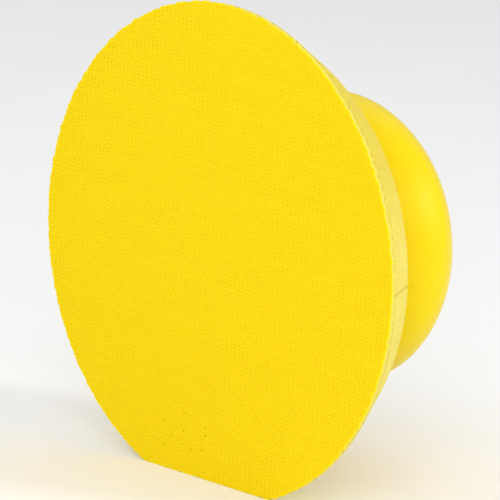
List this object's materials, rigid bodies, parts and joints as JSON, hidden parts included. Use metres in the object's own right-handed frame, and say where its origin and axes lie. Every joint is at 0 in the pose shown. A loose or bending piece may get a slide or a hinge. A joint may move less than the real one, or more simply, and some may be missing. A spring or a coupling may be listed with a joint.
{
  "type": "hand polishing pad",
  "caption": "Round hand pad with a hook-and-loop face, bevelled foam rim with one flat edge, and a domed palm knob.",
  "frame": {"origin": "centre of the hook face, on the plane of the hook tips", "axes": "-Y out of the hook face, +Y along the knob's axis towards the palm, -Z towards the flat edge, +X along the flat edge"},
  "size_m": [0.15, 0.0723, 0.1449],
  "materials": {
    "hook_fabric": "woven nylon hook fabric, bright yellow, dull with glinting hooks",
    "foam": "fine-celled polyurethane foam, pale yellow, matt",
    "adhesive": "cured contact adhesive film",
    "plate": "moulded plastic, yellow, satin gloss",
    "knob": "self-skinned polyurethane, bright yellow, soft gloss",
    "core": "moulded plastic, dark",
    "steel": "zinc-plated steel",
    "brass": "turned brass"
  },
  "bodies": {
    "root": {"hook_sheet": "hook_fabric", "sheet_adhesive": "adhesive", "foam_pad": "foam", "plate_adhesive": "adhesive", "backing_plate": "plate", "clamp_screw": "steel", "lock_washer": "steel", "locating_pins": "steel", "threaded_insert": "brass", "knob_core": "core", "palm_knob": "knob"}
  },
  "joints": []
}
